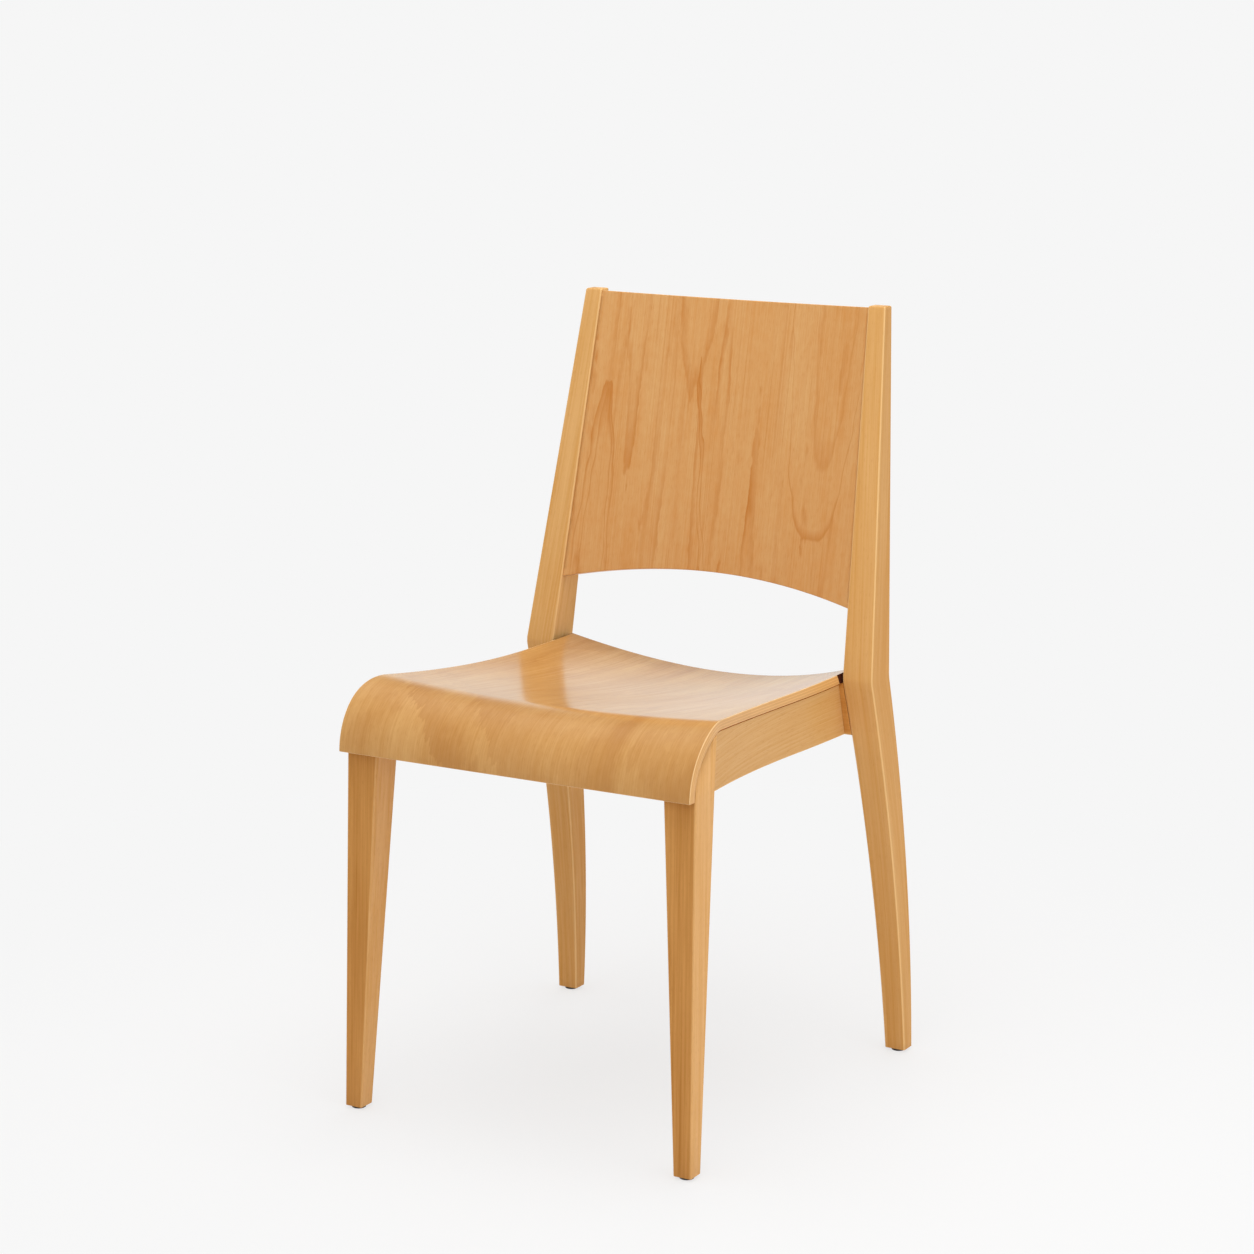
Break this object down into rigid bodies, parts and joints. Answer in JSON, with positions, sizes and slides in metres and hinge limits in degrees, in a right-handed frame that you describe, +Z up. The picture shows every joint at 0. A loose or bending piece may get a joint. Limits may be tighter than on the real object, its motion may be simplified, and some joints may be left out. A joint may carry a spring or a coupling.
{
  "type": "church chair",
  "caption": "Wooden side chair with a dished plywood seat rolled down at the front, a hollowed plywood back between raked uprights, tapered front legs and sabre rear legs.",
  "frame": {"origin": "centre of the bounding box in plan, on the floor", "axes": "+Z up, -Y towards the front of the seat, +X to the right as seen from the front"},
  "size_m": [0.4618, 0.4957, 0.85],
  "materials": {
    "frame_wood": "solid beech, stained honey brown, satin lacquer",
    "shell_plywood": "moulded beech plywood, stained honey brown, satin lacquer",
    "plain_wood": "bare beech",
    "screw_steel": "zinc plated",
    "glide_plastic": "dark moulded plastic"
  },
  "bodies": {
    "root": {"back_panel": "shell_plywood", "block_screw_front_left_cross": "screw_steel", "block_screw_front_left_side": "screw_steel", "block_screw_front_right_cross": "screw_steel", "block_screw_front_right_side": "screw_steel", "block_screw_rear_left_cross": "screw_steel", "block_screw_rear_left_side": "screw_steel", "block_screw_rear_right_cross": "screw_steel", "block_screw_rear_right_side": "screw_steel", "corner_block_front_left": "plain_wood", "corner_block_front_right": "plain_wood", "corner_block_rear_left": "plain_wood", "corner_block_rear_right": "plain_wood", "dowel_back_panel_left_1": "plain_wood", "dowel_back_panel_left_2": "plain_wood", "dowel_back_panel_left_3": "plain_wood", "dowel_back_panel_right_1": "plain_wood", "dowel_back_panel_right_2": "plain_wood", "dowel_back_panel_right_3": "plain_wood", "dowel_front_rail_left_1": "plain_wood", "dowel_front_rail_left_2": "plain_wood", "dowel_front_rail_right_1": "plain_wood", "dowel_front_rail_right_2": "plain_wood", "dowel_rear_rail_left_1": "plain_wood", "dowel_rear_rail_left_2": "plain_wood", "dowel_rear_rail_right_1": "plain_wood", "dowel_rear_rail_right_2": "plain_wood", "dowel_side_front_left_1": "plain_wood", "dowel_side_front_left_2": "plain_wood", "dowel_side_front_right_1": "plain_wood", "dowel_side_front_right_2": "plain_wood", "dowel_side_rear_left_1": "plain_wood", "dowel_side_rear_left_2": "plain_wood", "dowel_side_rear_right_1": "plain_wood", "dowel_side_rear_right_2": "plain_wood", "front_leg_left": "frame_wood", "front_leg_right": "frame_wood", "front_rail": "frame_wood", "glide_front_left": "glide_plastic", "glide_front_right": "glide_plastic", "glide_rear_left": "glide_plastic", "glide_rear_right": "glide_plastic", "rear_leg_left": "frame_wood", "rear_leg_right": "frame_wood", "rear_rail": "frame_wood", "seat_screw_front_left": "screw_steel", "seat_screw_front_right": "screw_steel", "seat_screw_rear_left": "screw_steel", "seat_screw_rear_right": "screw_steel", "seat_shell": "shell_plywood", "side_rail_left": "frame_wood", "side_rail_right": "frame_wood"}
  },
  "joints": []
}
